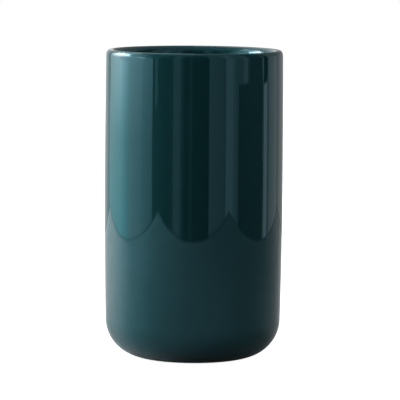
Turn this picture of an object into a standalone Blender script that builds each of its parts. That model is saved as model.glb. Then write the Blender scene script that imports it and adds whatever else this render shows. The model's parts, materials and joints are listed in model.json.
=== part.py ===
"""Brush pot: a tall straight-sided tumbler of glazed stoneware that stands on four small grip pads.

The pot is one turned shape, so it is drawn as half of its cross-section and spun about +Z.
Units are metres, +Z is up, and z = 0 is the surface that the pot stands on.
"""

import math

import bmesh
import bpy
from mathutils import Matrix

# --- Driving dimensions ---------------------------------------------------------------------------
POT_HEIGHT = 0.1310  # ceramic only, from the foot ring to the crest of the lip
BELLY_RADIUS = 0.0380  # widest point of the outside
BELLY_SHARE = 0.535  # height of the widest point, as a share of the pot's height
LIP_RADIUS = 0.0376  # outside radius where the wall turns over into the lip
HEEL_RADIUS = 0.0374  # outside radius where the wall turns in towards the foot
HEEL_CURVE = 0.0158  # radius of the rounded bottom corner
WALL = 0.0050
FLOOR = 0.0050
LIP_OUTER = 0.0015  # the lip turns over tightly on the outside
LIP_INNER = WALL - LIP_OUTER  # and falls away gently on the inside

FOOT_RING_WIDTH = 0.0040  # flat bare ring that the pot stood on in the kiln
RECESS_DEPTH = 0.0015  # hollow inside the foot ring, which holds the grip pads
RECESS_DRAFT = 0.0005  # the recess narrows by this much towards its ceiling

PAD_COUNT = 4
PAD_RADIUS = 0.0040
PAD_CIRCLE = 0.0115  # radius of the circle that the pads' centres lie on
PAD_PROUD = 0.0005  # the pads lift the foot ring this far off the table
PAD_EDGE = 0.0003  # bevel round each pad
GAP = 0.0003  # adhesive film between a pad and the recess's ceiling

# --- Mesh resolution ------------------------------------------------------------------------------
TURNS = 96  # segments round the pot
WALL_STEPS = 10
HEEL_STEPS = 10
LIP_STEPS = 6
PAD_TURNS = 32

# --- Levels worked out from the dimensions --------------------------------------------------------
FOOT_Z = PAD_PROUD
RECESS_Z = FOOT_Z + RECESS_DEPTH
INSIDE_FLOOR_Z = RECESS_Z + FLOOR
CREST_Z = FOOT_Z + POT_HEIGHT
BELLY_Z = FOOT_Z + BELLY_SHARE * POT_HEIGHT
LIP_Z = CREST_Z - LIP_OUTER
INNER_LIP_Z = CREST_Z - LIP_INNER
HEEL_Z = FOOT_Z + HEEL_CURVE


def clear_scene():
    """Remove whatever the file holds."""
    for old in list(bpy.data.objects):
        bpy.data.objects.remove(old)


def make_material(name, colour, roughness, metallic=0.0):
    """A Principled material from a linear colour."""
    material = bpy.data.materials.new(name)
    material.use_nodes = True
    shader = material.node_tree.nodes["Principled BSDF"]
    shader.inputs["Base Color"].default_value = (*colour, 1.0)
    shader.inputs["Roughness"].default_value = roughness
    shader.inputs["Metallic"].default_value = metallic
    material.diffuse_color = (*colour, 1.0)
    return material


def wall_radius(z):
    """Outside radius of the wall: widest at the belly, drawn in a little along a parabola each way."""
    if z >= BELLY_Z:
        end_radius = LIP_RADIUS
        end_z = LIP_Z
    else:
        end_radius = HEEL_RADIUS
        end_z = HEEL_Z
    share = (z - BELLY_Z) / (end_z - BELLY_Z)
    return BELLY_RADIUS - (BELLY_RADIUS - end_radius) * share**2


def arc(centre_r, centre_z, radius, start_deg, end_deg, steps):
    """Points (r, z) along an arc, both ends included."""
    points = []
    for step in range(steps + 1):
        angle = math.radians(start_deg + (end_deg - start_deg) * step / steps)
        points.append((centre_r + radius * math.cos(angle), centre_z + radius * math.sin(angle)))
    return points


def wall_points(inset, from_z, to_z):
    """Points up or down the wall, without its ends, moved in towards the axis by inset."""
    points = []
    for step in range(1, WALL_STEPS):
        z = from_z + (to_z - from_z) * step / WALL_STEPS
        points.append((wall_radius(z) - inset, z))
    return points


def pot_section():
    """Half of the pot's cross-section, from the middle of its underside round to the inside floor."""
    ring_outer = HEEL_RADIUS - HEEL_CURVE
    ring_inner = ring_outer - FOOT_RING_WIDTH
    inner_curve = HEEL_CURVE - WALL
    inner_centre_r = HEEL_RADIUS - WALL - inner_curve
    inner_centre_z = INSIDE_FLOOR_Z + inner_curve
    section = [(0.0, RECESS_Z), (ring_inner - RECESS_DRAFT, RECESS_Z), (ring_inner, FOOT_Z)]
    section += arc(ring_outer, HEEL_Z, HEEL_CURVE, -90, 0, HEEL_STEPS)
    section += wall_points(0.0, HEEL_Z, LIP_Z)
    section += arc(LIP_RADIUS - LIP_OUTER, LIP_Z, LIP_OUTER, 0, 90, LIP_STEPS)
    section += arc(LIP_RADIUS - LIP_OUTER, INNER_LIP_Z, LIP_INNER, 90, 180, LIP_STEPS)[1:]
    section += wall_points(WALL, INNER_LIP_Z, inner_centre_z)
    section += arc(inner_centre_r, inner_centre_z, inner_curve, 0, -90, HEEL_STEPS)
    section.append((0.0, INSIDE_FLOOR_Z))
    return section


def make_pot(material):
    """Spin the cross-section about +Z into one closed solid."""
    shape = bmesh.new()
    points = [shape.verts.new((r, 0.0, z)) for r, z in pot_section()]
    edges = [shape.edges.new(pair) for pair in zip(points, points[1:])]
    bmesh.ops.spin(
        shape,
        geom=points + edges,
        cent=(0.0, 0.0, 0.0),
        axis=(0.0, 0.0, 1.0),
        angle=2 * math.pi,
        steps=TURNS,
        use_merge=True,
    )
    bmesh.ops.remove_doubles(shape, verts=shape.verts, dist=1e-6)
    bmesh.ops.recalc_face_normals(shape, faces=shape.faces)
    return finish_object("pot_body", shape, material)


def make_pad(number, material):
    """One round grip pad with a bevelled edge, standing on the table inside the foot ring."""
    angle = math.radians(45 + 360 * (number - 1) / PAD_COUNT)
    thickness = RECESS_Z - GAP
    shape = bmesh.new()
    bmesh.ops.create_cone(
        shape,
        cap_ends=True,
        segments=PAD_TURNS,
        radius1=PAD_RADIUS,
        radius2=PAD_RADIUS,
        depth=thickness,
        matrix=Matrix.Translation((0.0, 0.0, thickness / 2)),
    )
    rims = [edge for edge in shape.edges if abs(edge.verts[0].co.z - edge.verts[1].co.z) < 1e-6]
    bmesh.ops.bevel(shape, geom=rims, offset=PAD_EDGE, segments=2, profile=0.5, affect="EDGES")
    pad = finish_object(f"foot_pad_{number}", shape, material)
    pad.location = (PAD_CIRCLE * math.cos(angle), PAD_CIRCLE * math.sin(angle), 0.0)
    return pad


def finish_object(name, shape, material):
    """Turn a bmesh into a named object with its material, smooth where it is round."""
    mesh = bpy.data.meshes.new(name)
    shape.to_mesh(mesh)
    shape.free()
    mesh.materials.append(material)
    mesh.shade_smooth()
    mesh.set_sharp_from_angle(angle=math.radians(35))
    made = bpy.data.objects.new(name, mesh)
    bpy.context.scene.collection.objects.link(made)
    return made


def main():
    clear_scene()
    glaze = make_material("teal_glaze", (0.018, 0.100, 0.114), 0.06)
    rubber = make_material("grip_pad_rubber", (0.55, 0.54, 0.50), 0.55)
    make_pot(glaze)
    for number in range(1, PAD_COUNT + 1):
        make_pad(number, rubber)


main()
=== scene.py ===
# %% [markdown]
# # A glazed brush pot
# The pot is a tall tumbler of stoneware with a glossy deep teal glaze. It stands on four small grip pads
# that are stuck into the hollow under its foot. Nothing on it moves, so every piece rides on one body. The
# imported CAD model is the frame: every size and place below is read from it or measured against it.

import json
import math

import bmesh
import bpy
from mathutils import Euler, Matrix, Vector
from mathutils.bvhtree import BVHTree


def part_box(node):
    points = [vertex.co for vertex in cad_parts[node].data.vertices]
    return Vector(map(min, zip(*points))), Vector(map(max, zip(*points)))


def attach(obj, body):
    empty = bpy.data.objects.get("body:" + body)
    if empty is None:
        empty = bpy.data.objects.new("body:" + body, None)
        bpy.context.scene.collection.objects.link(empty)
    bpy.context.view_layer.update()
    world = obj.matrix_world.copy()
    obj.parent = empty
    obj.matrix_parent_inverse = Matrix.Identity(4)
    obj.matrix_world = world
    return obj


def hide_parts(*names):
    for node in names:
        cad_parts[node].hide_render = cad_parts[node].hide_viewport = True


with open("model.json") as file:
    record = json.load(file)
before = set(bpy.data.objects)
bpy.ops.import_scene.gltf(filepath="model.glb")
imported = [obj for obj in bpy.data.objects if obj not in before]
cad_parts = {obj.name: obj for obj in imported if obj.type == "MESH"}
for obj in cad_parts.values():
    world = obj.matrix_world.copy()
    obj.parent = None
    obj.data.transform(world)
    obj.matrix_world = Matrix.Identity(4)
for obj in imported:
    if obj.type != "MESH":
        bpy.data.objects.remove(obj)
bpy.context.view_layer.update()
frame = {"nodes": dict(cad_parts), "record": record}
scene = bpy.context.scene

# %% [markdown]
# ## Measures
# Lengths are in metres, as in the CAD. A potter gives a turned shape by a few numbers: how wide it is at
# the belly, lip and heel, how round the heel is, and how thick the wall is. The belly, the crest of the
# lip, the foot and the inside floor are read from the frame. The rest are the potter's numbers, the same as
# the CAD's apart from the rise of the lip, and a later cell measures how far the finished surface is from
# the CAD's.

# %% The pot's main sizes
MM = 0.001

pot_low, pot_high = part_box("pot_body")
BELLY_RADIUS = pot_high.x
CREST_Z = pot_high.z
FOOT_Z = pot_low.z
INSIDE_FLOOR_Z = next(m["pos_m"][2] for m in frame["record"]["mounts"] if m["name"] == "inside_floor")

LIP_RADIUS = 37.6 * MM
HEEL_RADIUS = 37.4 * MM
HEEL_CURVE = 15.8 * MM
BELLY_SHARE = 0.535
WALL = 5.0 * MM
FLOOR = 5.0 * MM
LIP_OUTER = 1.5 * MM
LIP_INNER = WALL - LIP_OUTER
LIP_RISE = 2.4 * MM  # the outer curve of the lip is an ellipse, taller than it is wide

HEIGHT = CREST_Z - FOOT_Z
BELLY_Z = FOOT_Z + BELLY_SHARE * HEIGHT
HEEL_Z = FOOT_Z + HEEL_CURVE
LIP_Z = CREST_Z - LIP_OUTER
RECESS_Z = INSIDE_FLOOR_Z - FLOOR
print(f"pot: {2000 * BELLY_RADIUS:.1f} mm across, {1000 * HEIGHT:.1f} mm tall")

# %% [markdown]
# ## The outline
# A turned pot is half of its cross-section, swept round an axis. The wall is two shallow parabolas that
# meet at the belly. The heel and the lip are arcs. In a gloss glaze the eye reads the slope of the wall,
# not its place, so each arc starts at exactly the angle that the wall has where they meet: a change of
# slope of one degree would show as a line across every reflection.

# %% Points along walls and arcs
def wall_radius(z):
    """Outside radius of the wall at height z."""
    end_radius, end_z = (LIP_RADIUS, LIP_Z) if z >= BELLY_Z else (HEEL_RADIUS, HEEL_Z)
    share = (z - BELLY_Z) / (end_z - BELLY_Z)
    return BELLY_RADIUS - (BELLY_RADIUS - end_radius) * share**2


def wall_tilt(z):
    """Angle in degrees that the wall's outward normal makes with the horizontal at height z."""
    step = 0.01 * MM
    return math.degrees(math.atan2(wall_radius(z - step) - wall_radius(z + step), 2 * step))


def wall(inset, from_z, to_z, steps):
    """Points (r, z) along the wall, moved in along its normal by inset, both ends included."""
    points = []
    for step in range(steps + 1):
        z = from_z + (to_z - from_z) * step / steps
        tilt = math.radians(wall_tilt(z))
        points.append((wall_radius(z) - inset * math.cos(tilt), z - inset * math.sin(tilt)))
    return points


def arc(centre, radius, start, end, steps, rise=None):
    """Points (r, z) along an arc round centre, from start to end degrees, both ends included.

    With a rise it is an ellipse: radius across and rise up.
    """
    rise = rise or radius
    angles = [math.radians(start + (end - start) * step / steps) for step in range(steps + 1)]
    return [(centre[0] + radius * math.cos(a), centre[1] + rise * math.sin(a)) for a in angles]


def run(start, end, steps):
    """Points (r, z) along a straight line, without its last one."""
    return [
        (start[0] + (end[0] - start[0]) * step / steps, start[1] + (end[1] - start[1]) * step / steps)
        for step in range(steps)
    ]


print(f"the wall draws in by {wall_tilt(CREST_Z - LIP_RISE):.2f} degrees towards the lip")

# %% [markdown]
# ## The foot
# The pot stands in the kiln on a flat ring, which is wiped free of glaze, or it would fuse to the shelf.
# The glaze stops a little way up the heel, in a small rounded roll that stands proud of the bare clay.
# Inside the ring is a shallow hollow with a glazed ceiling, which keeps the grip pads out of sight.

# %% Sizes of the foot
RING_WIDTH = 4.0 * MM
RECESS_DRAFT = 0.5 * MM
RECESS_FILLET = 0.7 * MM
RING_EDGE = 0.35 * MM
GLAZE_THICKNESS = 0.15 * MM
GLAZE_LINE = 0.5 * MM  # height of the glaze's edge above the foot
GLAZE_ROLL = 0.12 * MM
GLAZE_DRAFT = 0.02 * MM  # the glazed side of the hollow widens by this much on its way down
GLAZE_SWELL = (0.3 * GLAZE_ROLL, 0.1 * GLAZE_ROLL)  # how far its edge on the heel swells out and up
ROLL_ANGLE = 1.2  # degrees of the heel that the swelling takes up
CEILING_MARGIN = 0.4 * MM  # a point this far inside a flat keeps it flat up to its corner curve
FLOOR_MARGIN = 0.5 * MM

# The glazed surface of the heel starts at the angle where it is a glaze line above the foot.
heel_tilt = wall_tilt(HEEL_Z)
heel_join_z = FOOT_Z + HEEL_CURVE * (1 + math.sin(math.radians(heel_tilt)))
heel_join_r = wall_radius(heel_join_z)
heel_centre = (heel_join_r - HEEL_CURVE * math.cos(math.radians(heel_tilt)), FOOT_Z + HEEL_CURVE)
glaze_edge_angle = math.degrees(math.acos(1 - GLAZE_LINE / HEEL_CURVE)) - 90
RING_OUTER = heel_centre[0]
RING_INNER = RING_OUTER - RING_WIDTH
print(f"foot ring: {2000 * RING_INNER:.1f} to {2000 * RING_OUTER:.1f} mm across")
print(f"the wall draws in by {-heel_tilt:.2f} degrees towards the heel")

# %% How finely each curve is drawn
FILLET_STEPS = 10
ROLL_STEPS = 4
RING_EDGE_STEPS = 6
RING_STEPS = 8
HEEL_STEPS = 64
WALL_STEPS = 64
LIP_STEPS = 28
INNER_WALL_STEPS = 40
INNER_HEEL_STEPS = 44
print(f"one step of the heel's curve is {1000 * HEEL_CURVE * math.pi / 2 / HEEL_STEPS:.2f} mm long")


# %% The outline of the foot
def recess_outline():
    """Glazed: from the axis across the hollow's ceiling, and down the inner side of the foot ring."""
    corner_r = RING_INNER - RECESS_DRAFT
    fillet_centre = (corner_r - RECESS_FILLET, RECESS_Z - RECESS_FILLET)
    roll_r = corner_r + GLAZE_DRAFT
    roll_z = FOOT_Z + GLAZE_LINE + GLAZE_ROLL
    points = [(0.0, RECESS_Z), (0.5 * corner_r, RECESS_Z), (fillet_centre[0] - CEILING_MARGIN, RECESS_Z)]
    points += arc(fillet_centre, RECESS_FILLET, 90, 0, FILLET_STEPS)
    points.append((roll_r, roll_z))
    points += arc((roll_r + GLAZE_ROLL, roll_z), GLAZE_ROLL, 180, 270, ROLL_STEPS)
    return points


def bare_outline():
    """Bare: the rest of the ring's inner side, its flat underside, and the clay up to the glaze's edge."""
    inner_r = RING_INNER + GLAZE_THICKNESS
    shift = GLAZE_THICKNESS / math.cos(math.radians(glaze_edge_angle))
    clay_centre = (heel_centre[0] - shift, heel_centre[1])
    flat = [(inner_r + RING_EDGE, FOOT_Z), (clay_centre[0], FOOT_Z)]
    points = [(inner_r, FOOT_Z + GLAZE_LINE)]
    points += arc((inner_r + RING_EDGE, FOOT_Z + RING_EDGE), RING_EDGE, 180, 270, RING_EDGE_STEPS)
    points += run(flat[0], flat[1], RING_STEPS)[1:]
    points += arc(clay_centre, HEEL_CURVE, -90, glaze_edge_angle, RING_STEPS)
    return points


print("points from the middle of the underside to the glaze's edge:", len(recess_outline() + bare_outline()))


# %% The outline of the glazed pot, and the three stretches together
def glazed_outline():
    """Glazed: from the glaze's edge up the heel and the wall, over the lip and down to the inside floor."""
    lip_start = CREST_Z - LIP_RISE
    lip_tilt = wall_tilt(lip_start)
    lip_angle = math.degrees(math.atan(math.tan(math.radians(lip_tilt)) * LIP_RISE / LIP_OUTER))
    crest_r = wall_radius(lip_start) - LIP_OUTER * math.cos(math.radians(lip_angle))
    inner_curve = HEEL_CURVE - WALL
    inner_tilt = wall_tilt(HEEL_Z)
    inner_top = wall(WALL, INSIDE_FLOOR_Z + inner_curve, LIP_Z, 1)[0]
    inner_centre = (
        inner_top[0] - inner_curve * math.cos(math.radians(inner_tilt)),
        INSIDE_FLOOR_Z + inner_curve,
    )
    inner_heel_z = inner_centre[1] + inner_curve * math.sin(math.radians(inner_tilt))
    inner_lip_z = CREST_Z - LIP_INNER
    roll_angle = glaze_edge_angle + ROLL_ANGLE
    edge_r, edge_z = arc(heel_centre, HEEL_CURVE, glaze_edge_angle, roll_angle, 1)[0]

    points = [(edge_r + GLAZE_SWELL[0], edge_z + GLAZE_SWELL[1])]
    points += arc(heel_centre, HEEL_CURVE, roll_angle, heel_tilt, HEEL_STEPS)
    points += wall(0.0, heel_join_z, lip_start, WALL_STEPS)[1:-1]
    points += arc((crest_r, lip_start), LIP_OUTER, lip_angle, 90, LIP_STEPS, LIP_RISE)
    points += arc((crest_r, inner_lip_z), LIP_INNER, 90, 180 + lip_tilt, LIP_STEPS)[1:]
    points += wall(WALL, inner_lip_z, inner_heel_z, INNER_WALL_STEPS)[1:-1]
    points += arc(inner_centre, inner_curve, inner_tilt, -90, INNER_HEEL_STEPS)
    points.append((inner_centre[0] - FLOOR_MARGIN, INSIDE_FLOOR_Z))
    points.append((0.5 * inner_centre[0], INSIDE_FLOOR_Z))
    points.append((0.0, INSIDE_FLOOR_Z))
    return points


stretches = [(recess_outline(), 0.0), (bare_outline(), 1.0), (glazed_outline(), 0.0)]
pot_outline = [(r, z, bare) for points, bare in stretches for r, z in points]
print("outline:", len(pot_outline), "points")

# %% [markdown]
# ## One small helper for every node tree
# Geometry Nodes trees and materials are both networks of nodes, so one function serves both: it adds a
# node, sets its options, and then fills each input with a value or with a link from another node.

# %% Add a node
def find_socket(sockets, key):
    """A socket by its number, its identifier or its name."""
    if isinstance(key, int):
        return sockets[key]
    by_identifier = [socket for socket in sockets if socket.identifier == key]
    return by_identifier[0] if by_identifier else sockets[key]


def add_node(tree, kind, inputs=None, **options):
    """Add a node of this kind. An input may be a plain value, a node, or one output of a node."""
    node = tree.nodes.new(kind)
    for name, value in options.items():
        setattr(node, name, value)
    for key, value in (inputs or {}).items():
        socket = find_socket(node.inputs, key)
        if isinstance(value, bpy.types.Node):
            value = next(output for output in value.outputs if output.enabled)
        if isinstance(value, bpy.types.NodeSocket):
            tree.links.new(value, socket)
        else:
            socket.default_value = value
    return node


# %% [markdown]
# ## A potter's wheel in Geometry Nodes
# Pot and pads are all turned shapes, so one tree makes them all. The outline comes in as a chain of edges.
# The tree sweeps it round a circle, closes the seam and the poles, and gives the wall the slight unevenness
# of fired clay. Swept in this direction the faces look inwards, so Flip Faces turns them round. The
# unevenness comes from a noise that only pushes inwards, so the pot never grows past its real size. The
# Screw modifier could sweep the outline too, but it couldn't add the unevenness or the bare clay.

# %% Inputs of the tree
PATH_RADIUS = 10 * MM  # radius of the circle that the outline is swept round
POT_TURNS = 192


def make_wheel():
    """The node tree, with a named input for each size."""
    tree = bpy.data.node_groups.new("Potter's wheel", "GeometryNodeTree")
    sockets = [
        ("Outline", "NodeSocketGeometry", None),
        ("Path radius", "NodeSocketFloat", PATH_RADIUS),
        ("Turns", "NodeSocketInt", POT_TURNS),
        ("Merge distance", "NodeSocketFloat", 0.002 * MM),
        ("Unevenness", "NodeSocketFloat", 0.0),
        ("Unevenness spacing", "NodeSocketFloat", 30 * MM),
        ("Seed", "NodeSocketFloat", 3.0),
        ("Centre", "NodeSocketVector", (0.0, 0.0, 0.0)),
        ("Finish", "NodeSocketMaterial", None),
        ("Second finish", "NodeSocketMaterial", None),
    ]
    for name, kind, default in sockets:
        socket = tree.interface.new_socket(name, in_out="INPUT", socket_type=kind)
        if default is not None:
            socket.default_value = default
    tree.interface.new_socket("Turned piece", in_out="OUTPUT", socket_type="NodeSocketGeometry")
    return tree


wheel = make_wheel()
given = wheel.nodes.new("NodeGroupInput").outputs
print("the wheel takes:", ", ".join(socket.name for socket in given if socket.name))

# %% Sweep the outline round the axis
outline_curve = add_node(wheel, "GeometryNodeMeshToCurve", {"Mesh": given["Outline"]})
path = add_node(
    wheel,
    "GeometryNodeCurvePrimitiveCircle",
    {"Resolution": given["Turns"], "Radius": given["Path radius"]},
    mode="RADIUS",
)
swept = add_node(
    wheel,
    "GeometryNodeCurveToMesh",
    {"Curve": path.outputs["Curve"], "Profile Curve": outline_curve.outputs["Curve"]},
)
closed = add_node(
    wheel,
    "GeometryNodeMergeByDistance",
    {"Geometry": swept.outputs["Mesh"], "Distance": given["Merge distance"]},
)
facing_out = add_node(wheel, "GeometryNodeFlipFaces", {"Mesh": closed.outputs[0]})
print("wheel with its sweep:", len(wheel.nodes), "nodes")

# %% Push the surface in a little, unevenly
place = add_node(wheel, "GeometryNodeInputPosition")
noise_scale = add_node(wheel, "ShaderNodeMath", {0: 1.0, 1: given["Unevenness spacing"]}, operation="DIVIDE")
noise = add_node(
    wheel,
    "ShaderNodeTexNoise",
    {"Vector": place.outputs[0], "W": given["Seed"], "Scale": noise_scale.outputs[0], "Detail": 1.0},
    noise_dimensions="4D",
)
depth = add_node(
    wheel, "ShaderNodeMath", {0: noise.outputs["Fac"], 1: given["Unevenness"]}, operation="MULTIPLY"
)
flat_place = add_node(
    wheel, "ShaderNodeVectorMath", {0: place.outputs[0], 1: (1.0, 1.0, 0.0)}, operation="MULTIPLY"
)
outwards = add_node(wheel, "ShaderNodeVectorMath", {0: flat_place.outputs[0]}, operation="NORMALIZE")
inwards = add_node(wheel, "ShaderNodeMath", {0: depth.outputs[0], 1: -1.0}, operation="MULTIPLY")
push = add_node(
    wheel, "ShaderNodeVectorMath", {0: outwards.outputs[0], "Scale": inwards.outputs[0]}, operation="SCALE"
)
uneven = add_node(
    wheel, "GeometryNodeSetPosition", {"Geometry": facing_out.outputs[0], "Offset": push.outputs[0]}
)
print("wheel with its unevenness:", len(wheel.nodes), "nodes")

# %% Put it in its place and give it its finishes
placed = add_node(
    wheel, "GeometryNodeTransform", {"Geometry": uneven.outputs[0], "Translation": given["Centre"]}
)
smooth = add_node(wheel, "GeometryNodeSetShadeSmooth", {"Geometry": placed.outputs[0]})
real = add_node(wheel, "GeometryNodeRealizeInstances", {"Geometry": smooth.outputs[0]})
finished = add_node(
    wheel, "GeometryNodeSetMaterial", {"Geometry": real.outputs[0], "Material": given["Finish"]}
)
second = add_node(wheel, "GeometryNodeInputNamedAttribute", {"Name": "second_finish"}, data_type="FLOAT")
is_second = add_node(
    wheel, "FunctionNodeCompare", {"A": second.outputs["Attribute"], "B": 0.5}, operation="GREATER_THAN"
)
two_finishes = add_node(
    wheel,
    "GeometryNodeSetMaterial",
    {
        "Geometry": finished.outputs[0],
        "Selection": is_second.outputs[0],
        "Material": given["Second finish"],
    },
)
add_node(wheel, "NodeGroupOutput", {"Turned piece": two_finishes.outputs[0]})
print("finished wheel:", len(wheel.nodes), "nodes")


# %% Use the wheel
def turn(name, outline, **inputs):
    """A plain mesh object turned from outline, a list of (r, z, second finish or not)."""
    mesh = bpy.data.meshes.new(name)
    corners = [(r - PATH_RADIUS, -z, 0.0) for r, z, second_finish in outline]
    mesh.from_pydata(corners, [(i, i + 1) for i in range(len(corners) - 1)], [])
    second_values = mesh.attributes.new("second_finish", "FLOAT", "POINT")
    second_values.data.foreach_set("value", [second_finish for r, z, second_finish in outline])
    draft = bpy.data.objects.new(name + "_outline", mesh)
    scene.collection.objects.link(draft)

    modifier = draft.modifiers.new("Wheel", "NODES")
    modifier.node_group = wheel
    sockets = {item.name: item.identifier for item in wheel.interface.items_tree if item.in_out == "INPUT"}
    for label, value in {"Path radius": PATH_RADIUS, **inputs}.items():
        modifier[sockets[label]] = value

    evaluated = draft.evaluated_get(bpy.context.evaluated_depsgraph_get())
    piece = bpy.data.objects.new(name, bpy.data.meshes.new_from_object(evaluated))
    scene.collection.objects.link(piece)
    bpy.data.objects.remove(draft)
    piece.data.name = name
    print(f"{name}: {len(piece.data.vertices)} points, {len(piece.data.polygons)} faces")
    return piece


# %% [markdown]
# ## Colours
# Colours are written as the sRGB hex values that a paint or web chart shows. Blender's shaders work in
# linear light, so one function turns a hex value into linear red, green and blue.

# %% Hex to linear
def colour(code):
    """Linear RGBA from an sRGB hex code such as "#0B555B"."""
    channels = [int(code[i : i + 2], 16) / 255 for i in (1, 3, 5)]
    linear = [c / 12.92 if c <= 0.04045 else ((c + 0.055) / 1.055) ** 2.4 for c in channels]
    return (*linear, 1.0)


def new_material(name):
    """A material with only a Principled shader, and the tree and the shader to build on."""
    material = bpy.data.materials.new(name)
    material.use_nodes = True
    return material, material.node_tree, material.node_tree.nodes["Principled BSDF"]


print("deep teal in linear light:", [round(channel, 3) for channel in colour("#225659")])

# %% [markdown]
# ## Glazed stoneware
# The glaze is a layer of coloured glass about 0.15 mm thick, melted on to the clay. It was poured and
# dipped, so it is level to a few thousandths of a millimetre, with a very gentle orange peel. It thins
# where it is drawn over the lip, where the pale clay shows through a little. A lead-free gloss glaze is
# rich in oxides, so its IOR is nearer 1.6 than window glass's 1.5. Copper and cobalt give the colour: they
# leave almost no red. They are in the surface of the glaze too, so its mirror image of the room is a little
# teal head-on and turns white at grazing angles, which Specular Tint does.

# %% Finish: teal gloss glaze
CLOUD_SIZE = 9 * MM
SMEAR_SIZE = 25 * MM
PEEL_SIZE = 4 * MM
PEEL_DEPTH = 0.002 * MM
LIP_THINNING = 1.0 * MM  # the glaze is thin this far down from the crest

glaze, tree, shader = new_material("Glazed stoneware, deep teal")
coordinates = add_node(tree, "ShaderNodeTexCoord").outputs["Object"]
shader.inputs["IOR"].default_value = 1.6
shader.inputs["Specular IOR Level"].default_value = 0.7
shader.inputs["Specular Tint"].default_value = colour("#97DAF0")

cloud = add_node(tree, "ShaderNodeTexNoise", {"Vector": coordinates, "Scale": 1 / CLOUD_SIZE, "Detail": 3.0})
cloudy = add_node(
    tree,
    "ShaderNodeMix",
    {"Factor_Float": cloud.outputs["Fac"], "A_Color": colour("#225659"), "B_Color": colour("#265C64")},
    data_type="RGBA",
)
height = add_node(tree, "ShaderNodeSeparateXYZ", {"Vector": coordinates}).outputs["Z"]
thin_at_lip = add_node(
    tree,
    "ShaderNodeMapRange",
    {"Value": height, "From Min": CREST_Z - LIP_THINNING, "From Max": CREST_Z, "To Max": 0.35},
    interpolation_type="SMOOTHSTEP",
)
over_lip = add_node(
    tree,
    "ShaderNodeMix",
    {
        "Factor_Float": thin_at_lip.outputs["Result"],
        "A_Color": cloudy,
        "B_Color": colour("#2A7479"),
    },
    data_type="RGBA",
)
tree.links.new(over_lip.outputs[2], shader.inputs["Base Color"])

smear = add_node(tree, "ShaderNodeTexNoise", {"Vector": coordinates, "Scale": 1 / SMEAR_SIZE, "Detail": 4.0})
gloss = add_node(
    tree, "ShaderNodeMapRange", {"Value": smear.outputs["Fac"], "To Min": 0.018, "To Max": 0.036}
)
tree.links.new(gloss.outputs["Result"], shader.inputs["Roughness"])

peel = add_node(tree, "ShaderNodeTexNoise", {"Vector": coordinates, "Scale": 1 / PEEL_SIZE, "Detail": 1.0})
bump = add_node(
    tree,
    "ShaderNodeBump",
    {"Height": peel.outputs["Fac"], "Distance": PEEL_DEPTH, "Strength": 1.0},
)
tree.links.new(bump.outputs["Normal"], shader.inputs["Normal"])
print(f"{glaze.name}: {len(tree.nodes)} nodes")

# %% [markdown]
# ## Bare stoneware
# Where the glaze was wiped off, the fired clay shows: pale, dry and slightly sandy, with darker grains. One
# fine noise gives both the grains' colour and their height, because on real clay the two go together.

# %% Finish: bare foot ring
SAND_SIZE = 0.4 * MM
SAND_DEPTH = 0.04 * MM

bare_clay, tree, shader = new_material("Bare stoneware")
coordinates = add_node(tree, "ShaderNodeTexCoord").outputs["Object"]
shader.inputs["Roughness"].default_value = 0.85
sand = add_node(tree, "ShaderNodeTexNoise", {"Vector": coordinates, "Scale": 1 / SAND_SIZE, "Detail": 4.0})
sandy = add_node(
    tree,
    "ShaderNodeMix",
    {"Factor_Float": sand.outputs["Fac"], "A_Color": colour("#B7A88F"), "B_Color": colour("#DDD2BE")},
    data_type="RGBA",
)
tree.links.new(sandy.outputs[2], shader.inputs["Base Color"])
bump = add_node(tree, "ShaderNodeBump", {"Height": sand.outputs["Fac"], "Distance": SAND_DEPTH})
tree.links.new(bump.outputs["Normal"], shader.inputs["Normal"])
print(f"{bare_clay.name}: {len(tree.nodes)} nodes")

# %% [markdown]
# ## The pot
# The outline goes on to the wheel with the two finishes, and comes off as a plain mesh. Then it is
# measured: how far its points lie from the CAD's surface, how much clay it holds, and whether it is closed.
# A volume above zero also shows that the faces look outwards.

# %% Measure a finished piece against its CAD node
def compare(piece, node):
    """Print how far the piece's points are from the CAD node's surface, and check which way it faces."""
    cad = frame["nodes"][node]
    corners = [cad.matrix_world @ vertex.co for vertex in cad.data.vertices]
    surface = BVHTree.FromPolygons(corners, [tuple(face.vertices) for face in cad.data.polygons])
    gaps = [surface.find_nearest(vertex.co)[3] / MM for vertex in piece.data.vertices]
    solid = bmesh.new()
    solid.from_mesh(piece.data)
    volume = solid.calc_volume(signed=True)
    open_edges = sum(not edge.is_manifold for edge in solid.edges)
    solid.free()
    print(f"{piece.name}: mean gap {sum(gaps) / len(gaps):.3f} mm, largest {max(gaps):.3f} mm")
    print(f"  volume {1e6 * volume:.3f} ml, open edges {open_edges}")
    assert volume > 0, "the faces look inwards"


# %% Turn the pot
UNEVENNESS = 0.02 * MM

pot = turn(
    "pot",
    pot_outline,
    **{"Turns": POT_TURNS, "Unevenness": UNEVENNESS, "Finish": glaze, "Second finish": bare_clay},
)
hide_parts("pot_body")
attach(pot, "root")
compare(pot, "pot_body")

# %% [markdown]
# ## Grip pads
# Each pad is a small moulded rubber button, held to the glazed ceiling of the hollow by a film of adhesive.
# It is turned on the same wheel, since it is round too. Moulded rubber is matt, from the fine blasting of
# the steel mould, and has a small dimple in the middle, where the rubber ran in. The blasting is finer than
# can be seen, so its grain is drawn a quarter of a millimetre wide.

# %% Finishes: moulded rubber and adhesive film
GRAIN_SIZE = 0.25 * MM
GRAIN_DEPTH = 0.01 * MM

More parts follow.
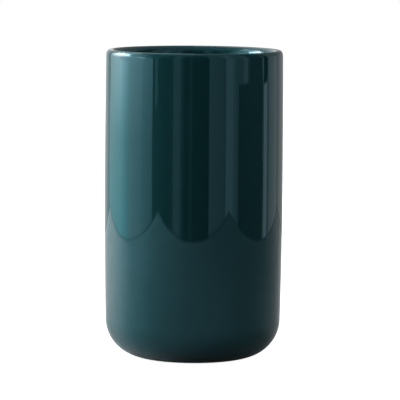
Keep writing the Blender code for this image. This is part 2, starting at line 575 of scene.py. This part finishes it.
rubber, tree, shader = new_material("Moulded rubber")
coordinates = add_node(tree, "ShaderNodeTexCoord").outputs["Object"]
shader.inputs["Roughness"].default_value = 0.55
grain = add_node(tree, "ShaderNodeTexNoise", {"Vector": coordinates, "Scale": 1 / GRAIN_SIZE, "Detail": 2.0})
tint = add_node(
    tree,
    "ShaderNodeMix",
    {"Factor_Float": grain.outputs["Fac"], "A_Color": colour("#BBB9B1"), "B_Color": colour("#C9C7BF")},
    data_type="RGBA",
)
tree.links.new(tint.outputs[2], shader.inputs["Base Color"])
bump = add_node(tree, "ShaderNodeBump", {"Height": grain.outputs["Fac"], "Distance": GRAIN_DEPTH})
tree.links.new(bump.outputs["Normal"], shader.inputs["Normal"])
print(f"{rubber.name}: {len(tree.nodes)} nodes")

film, tree, shader = new_material("Adhesive film")
shader.inputs["Roughness"].default_value = 0.4
shader.inputs["Base Color"].default_value = colour("#E6E1CF")
print(f"{film.name}: {len(tree.nodes)} nodes")

# %% Outline of a pad
PAD_EDGE = 0.3 * MM
PAD_EDGE_STEPS = 8
DIMPLE_RADIUS = 0.3 * MM
DIMPLE_DEPTH = 0.12 * MM
DIMPLE_EDGE = 0.15 * MM
FILM_MARGIN = 0.25 * MM  # the film is this much smaller than the pad all round
FILM_STEP = 0.01 * MM  # where the rubber ends and the film begins
FILM_CLEARANCE = 0.02 * MM  # between the film and the hollow's ceiling


def pad_outline(radius, top):
    """Outline of one pad, from the middle of its underside round to the middle of the film on its top."""
    core = radius - PAD_EDGE
    film_radius = radius - FILM_MARGIN
    film_top = RECESS_Z - FILM_CLEARANCE
    rubber_points = [(0.0, DIMPLE_DEPTH), (DIMPLE_RADIUS, DIMPLE_DEPTH)]
    rubber_points += arc((DIMPLE_RADIUS + DIMPLE_EDGE, DIMPLE_EDGE), DIMPLE_EDGE, -150, -90, 4)[1:]
    rubber_points += arc((core, PAD_EDGE), PAD_EDGE, -90, 0, PAD_EDGE_STEPS)
    rubber_points += arc((core, top - PAD_EDGE), PAD_EDGE, 0, 90, PAD_EDGE_STEPS)
    rubber_points.append((film_radius, top))
    film_points = [(film_radius, top + FILM_STEP), (film_radius, film_top), (0.0, film_top)]
    return [(r, z, 0.0) for r, z in rubber_points] + [(r, z, 1.0) for r, z in film_points]


print(f"dimple: {2000 * DIMPLE_RADIUS:.1f} mm across and {1000 * DIMPLE_DEPTH:.2f} mm deep")

# %% Turn the pads
PAD_COUNT = 4
PAD_TURNS = 64

for number in range(1, PAD_COUNT + 1):
    low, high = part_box(f"foot_pad_{number}")
    middle = (low + high) / 2
    pad = turn(
        f"grip_pad_{number}",
        pad_outline((high.x - low.x) / 2, high.z),
        **{
            "Turns": PAD_TURNS,
            "Centre": (middle.x, middle.y, 0.0),
            "Finish": rubber,
            "Second finish": film,
        },
    )
    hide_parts(f"foot_pad_{number}")
    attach(pad, "root")
    compare(pad, f"foot_pad_{number}")

# %% [markdown]
# ## The studio
# A gloss glaze is a dark mirror: most of what is seen on it is the room. So the room is built, as simply as
# its reflection allows, and the camera sees none of it: only the pot, a white floor and a white background.
# Lamps alone would leave the glaze black with a few bright spots on it.
#
# The pot's reflection starts at its foot with a square board, whose edge makes the scalloped line low on
# the wall. A darker rim round it is painted shade, standing for the shadowed gap at the board's edge,
# and draws that line a little stronger. The board's colour holds painted light: it is paler on the left,
# where the window lights it, and towards the back. Only reflections see it. The floor is seen only by the
# camera and only from above, so that it doesn't hide the foot from below.

# %% The white floor
FLOOR_HALF = 3.0
FLOOR_Z = -0.1 * MM


def plate(name, half_size, z, material):
    """A flat square plate facing up."""
    signs = [(-1, -1), (1, -1), (1, 1), (-1, 1)]
    mesh = bpy.data.meshes.new(name)
    mesh.from_pydata([(half_size * x, half_size * y, z) for x, y in signs], [], [(0, 1, 2, 3)])
    mesh.materials.append(material)
    made = bpy.data.objects.new(name, mesh)
    scene.collection.objects.link(made)
    return made


white_floor, tree, shader = new_material("White acrylic, lit from below")
shader.inputs["Base Color"].default_value = colour("#E8E8E8")
shader.inputs["Roughness"].default_value = 0.8
shader.inputs["Specular IOR Level"].default_value = 0.0
shader.inputs["Emission Color"].default_value = colour("#FFFFFF")
shader.inputs["Emission Strength"].default_value = 0.97
underside = add_node(tree, "ShaderNodeNewGeometry").outputs["Backfacing"]
clear = add_node(tree, "ShaderNodeBsdfTransparent")
one_sided = add_node(tree, "ShaderNodeMixShader", {0: underside, 1: shader, 2: clear})
tree.links.new(one_sided.outputs[0], tree.nodes["Material Output"].inputs["Surface"])
floor = plate("floor", FLOOR_HALF, FLOOR_Z, white_floor)
floor.visible_diffuse = False
floor.visible_glossy = False
floor.visible_shadow = False
print(f"floor: {2 * FLOOR_HALF:.0f} m square")

# %% The board
BOARD_HALF = 0.42
BOARD_Z = -0.5 * MM
BOARD_RIM = 14 * MM
RIM_DROP = 1 * MM  # the rim of painted shade is a wider dark plate just under the board
FADE_HALF = 0.27  # the painted light fades from this far left of the pot to this far right of it
PALE = 0.98
DARK = 0.42
BACK_START = 0.05  # the board's painted light grows from this far behind the pot
BACK_END = 0.3
BACK_GAIN = 1.5

# The board's grey is painted light: paler on the left, where the window lights it, and towards the back.
board_painted_light, tree, shader = new_material("Board with painted window light")
coordinates = add_node(tree, "ShaderNodeTexCoord").outputs["Object"]
spot = add_node(tree, "ShaderNodeSeparateXYZ", {"Vector": coordinates})
across = add_node(
    tree,
    "ShaderNodeMapRange",
    {
        "Value": spot.outputs["X"],
        "From Min": -FADE_HALF,
        "From Max": FADE_HALF,
        "To Min": PALE,
        "To Max": DARK,
    },
)
back = add_node(
    tree,
    "ShaderNodeMapRange",
    {
        "Value": spot.outputs["Y"],
        "From Min": BACK_START,
        "From Max": BACK_END,
        "To Min": 1.0,
        "To Max": BACK_GAIN,
    },
)
grey = add_node(tree, "ShaderNodeMath", {0: across.outputs[0], 1: back.outputs[0]}, operation="MULTIPLY")
capped = add_node(tree, "ShaderNodeMath", {0: grey, 1: PALE}, operation="MINIMUM")
tree.links.new(capped.outputs[0], shader.inputs["Base Color"])
shader.inputs["Roughness"].default_value = 0.6
board = plate("board", BOARD_HALF, BOARD_Z, board_painted_light)
board.visible_camera = False
board.visible_diffuse = False

# The rim is painted shade: a dark plate that stands for the shadowed gap at the board's edge.
rim_painted_shade, tree, shader = new_material("Painted shade at the board's edge")
shader.inputs["Base Color"].default_value = colour("#202020")
shader.inputs["Roughness"].default_value = 0.8
board_rim = plate("board_rim", BOARD_HALF + BOARD_RIM, BOARD_Z - RIM_DROP, rim_painted_shade)
board_rim.visible_camera = False
print(f"board: {2 * BOARD_HALF:.2f} m square, with a rim of {1000 * BOARD_RIM:.0f} mm")

# %% The white background
world = bpy.data.worlds.new("White background")
scene.world = world
world.use_nodes = True
world.node_tree.nodes["Background"].inputs["Color"].default_value = colour("#FFFFFF")
world.cycles_visibility.diffuse = False
world.cycles_visibility.glossy = False
print("background:", world.name)

# %% [markdown]
# ## The room
# Each piece of the room is a lit panel, curved round the pot like a piece of a dome. A panel is given by
# two azimuths and by its brightness at a few levels, where 1 is white paper in the camera's exposure, and
# each point of its mesh keeps its own brightness as an attribute. So soft gradients need no images and few
# panels. A real room could be modelled instead, but then no strip on the glaze could be set without moving
# the others.
#
# The window's lower part is tinted, as over greenery. Panels cast no shadows and can stand in front of each
# other, on smaller radii: soft boxes before the window, and furniture before the walls.

# %% The light of a panel
DOME_RADIUS = 1.6
FURNITURE_RADIUS = 1.55
SOFT_BOX_RADIUS = 1.5
PANEL_STEP = 4  # degrees between a panel's points
TINT_LOW = -0.14  # the tint runs from this height to the next
TINT_HIGH = 0.08


def panel_material(name, low_tint, high_tint):
    """A light with the panel's own strength, tinted from low_tint at TINT_LOW to high_tint at TINT_HIGH."""
    material = bpy.data.materials.new(name)
    material.use_nodes = True
    tree = material.node_tree
    tree.nodes.clear()
    glow = add_node(tree, "ShaderNodeAttribute", attribute_name="glow")
    place = add_node(tree, "ShaderNodeTexCoord").outputs["Object"]
    up = add_node(tree, "ShaderNodeSeparateXYZ", {"Vector": place}).outputs["Z"]
    share = add_node(tree, "ShaderNodeMapRange", {"Value": up, "From Min": TINT_LOW, "From Max": TINT_HIGH})
    tint = add_node(
        tree,
        "ShaderNodeMix",
        {"Factor_Float": share.outputs["Result"], "A_Color": low_tint, "B_Color": high_tint},
        data_type="RGBA",
    )
    emit = add_node(tree, "ShaderNodeEmission", {"Color": tint, "Strength": glow.outputs["Fac"]})
    add_node(tree, "ShaderNodeOutputMaterial", {"Surface": emit.outputs[0]})
    return material


panel_light = panel_material("Lit panel", colour("#FFFFFF"), colour("#FFFFFF"))
garden_light = panel_material("Window light over greenery", colour("#C6FFFF"), colour("#F1FFFF"))
print("panel lights:", panel_light.name, "and", garden_light.name)


# %% A panel of the dome
def panel(name, azimuths, levels, radius=DOME_RADIUS, material=panel_light):
    """A panel between two azimuths in degrees, where 0 is the camera's side and +90 is +X.

    Each level is its elevation in degrees, and the panel's brightness there at its start and at its end.
    """
    across = max(1, round(abs(azimuths[1] - azimuths[0]) / PANEL_STEP))
    rows = []
    for below, above in zip(levels, levels[1:]):
        steps = max(1, round((above[0] - below[0]) / PANEL_STEP))
        for step in range(steps):
            rows.append([low + (high - low) * step / steps for low, high in zip(below, above)])
    rows.append(levels[-1])

    corners, brightness, faces = [], [], []
    for elevation, start, end in rows:
        out = radius * math.cos(math.radians(elevation))
        up = radius * math.sin(math.radians(elevation))
        for column in range(across + 1):
            azimuth = math.radians(azimuths[0] + (azimuths[1] - azimuths[0]) * column / across)
            corners.append((out * math.sin(azimuth), -out * math.cos(azimuth), up))
            brightness.append(start + (end - start) * column / across)
    for row in range(len(rows) - 1):
        for column in range(across):
            first = row * (across + 1) + column
            faces.append((first, first + 1, first + across + 2, first + across + 1))

    mesh = bpy.data.meshes.new(name)
    mesh.from_pydata(corners, [], faces)
    mesh.attributes.new("glow", "FLOAT", "POINT").data.foreach_set("value", brightness)
    mesh.materials.append(material)
    made = bpy.data.objects.new(name, mesh)
    scene.collection.objects.link(made)
    made.visible_camera = False
    made.visible_shadow = False
    return made


# %% The window
LOW = -26  # degrees, under the far edge of the board
TOP = 55

panel(
    "window_far",
    (-139, -109),
    [(LOW, 0.6, 0.76), (-1, 1.0, 1.9), (3, 1.0, 4), (14, 1.7, 4.4), (TOP, 0.6, 0.6)],
    material=garden_light,
)
panel(
    "window_middle",
    (-109, -92),
    [(LOW, 0.78, 0.66), (-1, 2.0, 1.35), (3, 4.1, 2.5), (14, 4.5, 3.1), (TOP, 0.6, 0.3)],
    material=garden_light,
)
panel(
    "window_near",
    (-92, -70),
    [(LOW, 0.48, 0.42), (-1, 1.2, 1.0), (3, 2.1, 1.8), (14, 2.7, 1.7), (TOP, 0.2, 0.1)],
)
panel(
    "window_edge",
    (-70, -54.5),
    [(LOW, 0.38, 0.31), (-1, 0.85, 0.58), (3, 1.45, 1.0), (14, 1.0, 0.3), (38, 0.3, 0.1)],
)
print("window: 4 panels")

# %% Soft boxes in front of the window
for name, azimuths, levels in [
    ("soft_box_low_far", (-132, -114), [(3, 1.5, 3.1), (6, 1.8, 4), (10, 2.5, 6), (20, 6, 13)]),
    ("soft_box_low", (-114, -90), [(3, 3.1, 2), (6, 4, 2.1), (10, 6, 3), (20, 13, 6)]),
    ("soft_box_near", (-79, -65), [(5, 1, 1), (9, 4.5, 4.5), (14, 4.5, 4.5)]),
]:
    panel(name, azimuths, levels, SOFT_BOX_RADIUS)

# The high boxes make the highlights on the lip. The glaze's body doesn't see them, or it would be too pale.
for name, azimuths, levels in [
    ("soft_box", (-130, -97), [(21, 16, 16), (31, 16, 16)]),
    ("soft_box_top", (-132, -102), [(31, 12, 12), (40, 5, 5)]),
    ("soft_box_high", (-132, -95), [(40, 3, 1.5), (55, 3, 1.5)]),
    ("soft_box_back", (-139, -132), [(14, 3, 3), (45, 3, 3)]),
]:
    high_box = panel(name, azimuths, levels, SOFT_BOX_RADIUS)
    high_box.visible_diffuse = False

# Daylight does the opposite: it lights the glaze's body, and is too spread out to be seen as a reflection.
daylight = panel("daylight", (-150, -100), [(-10, 2.7, 2.7), (40, 2.7, 2.7)], SOFT_BOX_RADIUS)
daylight.visible_glossy = False
print("soft boxes: 3 low, 4 high, and daylight")

# %% The walls
for name, azimuths, brightness in [
    ("back_wall_left", (-180, -148), (0.8, 0.65)),
    ("pillar_edge", (-31, -26.5), (0.05, 0.05)),
    ("pillar", (-26.5, -17), (0.31, 0.31)),
    ("pillar_side", (-17, -13.5), (0.1, 0.1)),
    ("tripod", (-6, -2.5), (0.07, 0.07)),
    ("cupboard", (19, 40), (0.31, 0.26)),
    ("door", (40.5, 50.5), (0.56, 0.56)),
    ("door_jamb", (50.5, 54.5), (0.38, 0.38)),
    ("door_frame", (54.5, 58.5), (0.27, 0.27)),
    ("front_wall_right", (58.5, 99), (0.04, 0.04)),
]:
    panel(name, azimuths, [(LOW, *brightness), (TOP, *brightness)])

# The walls behind on the right are lit low down and fade above.
FADE_START = 8
FADE_END = 16
FADE_SHARE = 0.65
for name, azimuths, (start, end) in [
    ("back_wall_right", (112, 133), (0.46, 0.5)),
    ("picture_frame", (133, 138), (0.3, 0.3)),
    ("back_wall_far", (138, 180), (0.4, 0.36)),
]:
    faint = (FADE_SHARE * start, FADE_SHARE * end)
    levels = [(LOW, start, end), (FADE_START, start, end), (FADE_END, *faint), (TOP, *faint)]
    panel(name, azimuths, levels)
panel("dark_wall_left", (-148, -139), [(LOW, 0.6, 0.5), (0, 0.6, 0.5), (1.5, 0.5, 0.4), (TOP, 0.45, 0.35)])
print("walls: 14 panels, and the gaps between them are dark")

# %% The furniture in front of the walls
for name, azimuths, foot, brightness in [
    ("window_reveal", (-51, -47.5), 0.9, 0.33),
    ("shelf_side", (58.5, 66), 1.9, 0.26),
    ("shelf", (66, 72.5), 1.9, 0.43),
    ("shelf_end", (72.5, 75.5), 1.9, 0.15),
]:
    levels = [(foot, brightness, brightness), (TOP, brightness, brightness)]
    panel(name, azimuths, levels, FURNITURE_RADIUS)

# The curtain is lit only low down. Above CURTAIN_TOP it is a dark slot between two paler edges.
CURTAIN_TOP = 1.6
edge_levels = [(LOW, 0.22, 0.22), (1.5, 0.22, 0.22), (CURTAIN_TOP, 0.42, 0.42), (TOP, 0.42, 0.42)]
panel("curtain_edge", (97, 100.5), edge_levels)
panel("curtain_high", (109, 112), [(CURTAIN_TOP, 0.35, 0.42), (TOP, 0.35, 0.42)])
panel("curtain", (100.5, 107.5), [(LOW, 0.7, 0.7), (CURTAIN_TOP, 0.7, 0.7)], FURNITURE_RADIUS)
panel("curtain_fold", (107.5, 112), [(LOW, 0.15, 0.3), (CURTAIN_TOP, 0.25, 0.3)])
print("furniture: 4 panels, and 4 for the curtain")

# %% The ceiling and a light from below
panel("ceiling", (-180, 180), [(TOP, 0.25, 0.25), (89, 0.25, 0.25)])

# A light straight below. The board and its rim keep it from the foot, which is dark from underneath.
panel("under_light", (-180, 180), [(-89, 1.5, 1.5), (-60, 1.5, 1.5)])

# %% [markdown]
# ## The camera
# A long lens from just above the lip, about a metre away, keeps the sides nearly parallel. It aims a little
# to the right of the pot's axis and is turned by less than half a degree, as a camera held on a tripod
# often is. The Standard view transform keeps white paper white.

# %% Camera
DISTANCE = 1.064
RISE = math.radians(6.34)
ROLL = math.radians(0.44)
AIM_RIGHT = 2.76 * MM
AIM_UP = 1.24 * MM
MIDDLE_Z = (FOOT_Z + CREST_Z) / 2

aim = Vector((AIM_RIGHT, 0.0, MIDDLE_Z + AIM_UP))
stand = Vector((0.0, -DISTANCE, MIDDLE_Z + DISTANCE * math.tan(RISE)))

lens = bpy.data.cameras.new("camera")
lens.lens = 225.3
lens.sensor_width = 36.0
camera = bpy.data.objects.new("camera", lens)
scene.collection.objects.link(camera)
camera.location = stand
turned = (aim - stand).to_track_quat("-Z", "Y") @ Euler((0.0, 0.0, ROLL)).to_quaternion()
camera.rotation_euler = turned.to_euler()
scene.camera = camera
scene.view_settings.view_transform = "Standard"
print(f"camera: {stand.length:.2f} m from the pot, {math.degrees(RISE):.1f} degrees above its middle")
